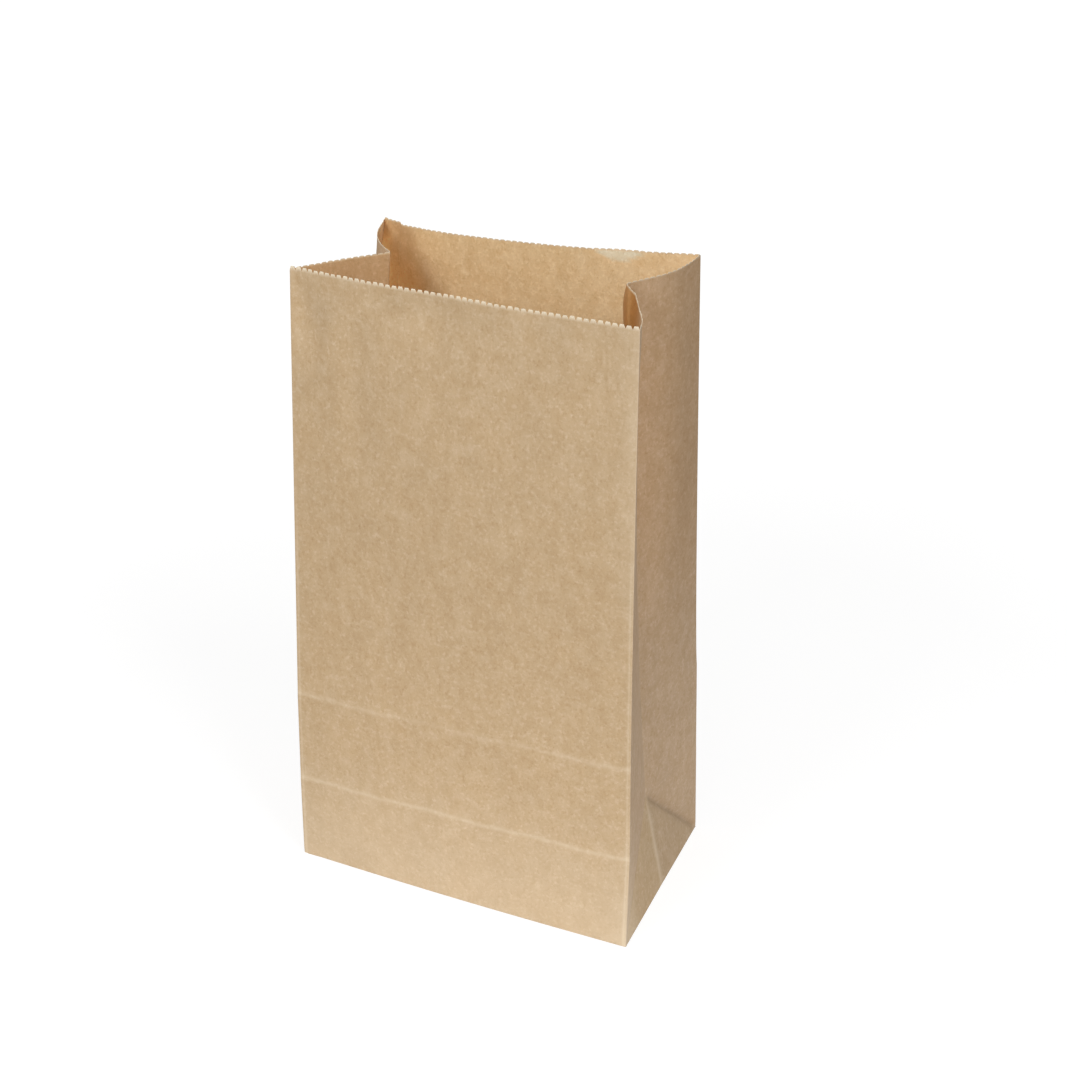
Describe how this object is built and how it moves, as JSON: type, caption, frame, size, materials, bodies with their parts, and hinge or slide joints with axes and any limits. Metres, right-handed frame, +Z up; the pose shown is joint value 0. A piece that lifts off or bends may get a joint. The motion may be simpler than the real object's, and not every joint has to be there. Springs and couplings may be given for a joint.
{
  "type": "brown paper lunch bag",
  "caption": "Open self-standing brown kraft paper lunch bag with a flat folded bottom, pleated side gussets and a pinked top edge.",
  "frame": {"origin": "middle of the bottom, on the surface that the bag stands on", "axes": "+Z up to the open mouth, +Y from the front panel to the back panel, +X to the right of the front panel"},
  "size_m": [0.1523, 0.0914, 0.2714],
  "materials": {
    "kraft_paper": "matte, uncoated, finely mottled"
  },
  "bodies": {
    "root": {"paper_bag": "kraft_paper"}
  },
  "joints": []
}
